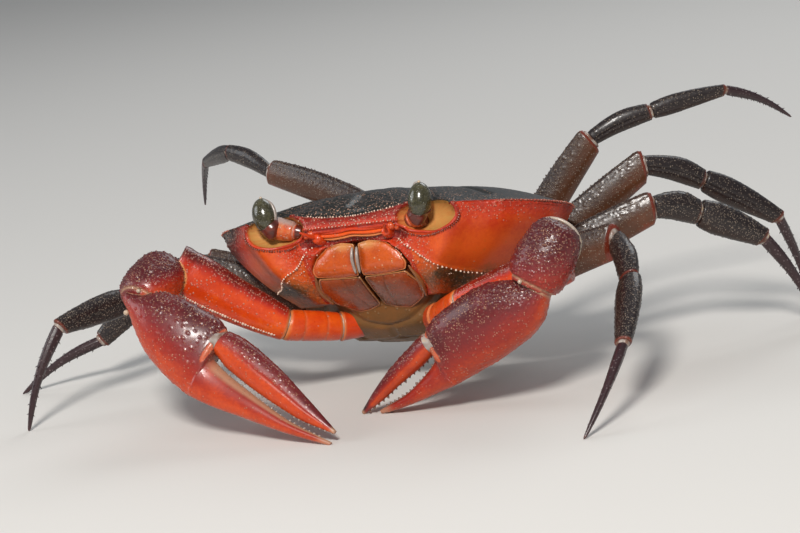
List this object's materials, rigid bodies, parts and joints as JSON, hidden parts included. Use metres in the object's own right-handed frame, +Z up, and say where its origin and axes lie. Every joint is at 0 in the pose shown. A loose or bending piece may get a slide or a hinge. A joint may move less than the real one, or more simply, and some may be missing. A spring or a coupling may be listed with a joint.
{
  "type": "manicou crab",
  "caption": "Freshwater crab standing with its front raised, both claws resting on the ground, eyes up on their stalks, walking legs spread and the last pair lifted.",
  "frame": {"origin": "on the floor, below the middle of the bounding box", "axes": "-Y the way the crab faces, +X to the crab's left, +Z up"},
  "size_m": [0.182, 0.1208, 0.0565],
  "materials": {
    "carapace": "wet granular shell, near black above, orange-red on the sides",
    "underside": "olive-brown shell",
    "mouthpart": "orange-brown plates with pale rims",
    "arm": "bright orange-red shell",
    "claw": "maroon shell with pale granules",
    "leg": "dark brown granular shell",
    "dactyl": "dark brown horny tips",
    "eyestalk": "orange-brown stalks",
    "cornea": "dark olive, highly polished"
  },
  "bodies": {
    "root": {"carapace": "carapace", "thorax": "underside", "abdomen": "underside", "maxilliped_merus_left": "mouthpart", "maxilliped_ischium_left": "mouthpart", "eye_left": "cornea", "eyestalk_left": "eyestalk", "antenna_left": "arm", "claw_ischium_left": "arm", "claw_merus_left": "arm", "claw_carpus_left": "claw", "claw_palm_left": "claw", "claw_finger_left": "claw", "leg_2_left_merus": "leg", "leg_2_left_carpus": "leg", "leg_2_left_propodus": "leg", "leg_2_left_dactyl": "dactyl", "leg_3_left_merus": "leg", "leg_3_left_carpus": "leg", "leg_3_left_propodus": "leg", "leg_3_left_dactyl": "dactyl", "leg_4_left_merus": "leg", "leg_4_left_carpus": "leg", "leg_4_left_propodus": "leg", "leg_4_left_dactyl": "dactyl", "leg_5_left_merus": "leg", "leg_5_left_carpus": "leg", "leg_5_left_propodus": "leg", "leg_5_left_dactyl": "dactyl", "maxilliped_merus_right": "mouthpart", "maxilliped_ischium_right": "mouthpart", "eye_right": "cornea", "eyestalk_right": "eyestalk", "antenna_right": "arm", "claw_ischium_right": "arm", "claw_merus_right": "arm", "claw_carpus_right": "claw", "claw_palm_right": "claw", "claw_finger_right": "claw", "leg_2_right_merus": "leg", "leg_2_right_carpus": "leg", "leg_2_right_propodus": "leg", "leg_2_right_dactyl": "dactyl", "leg_3_right_merus": "leg", "leg_3_right_carpus": "leg", "leg_3_right_propodus": "leg", "leg_3_right_dactyl": "dactyl", "leg_4_right_merus": "leg", "leg_4_right_carpus": "leg", "leg_4_right_propodus": "leg", "leg_4_right_dactyl": "dactyl", "leg_5_right_merus": "leg", "leg_5_right_carpus": "leg", "leg_5_right_propodus": "leg", "leg_5_right_dactyl": "dactyl"}
  },
  "joints": []
}
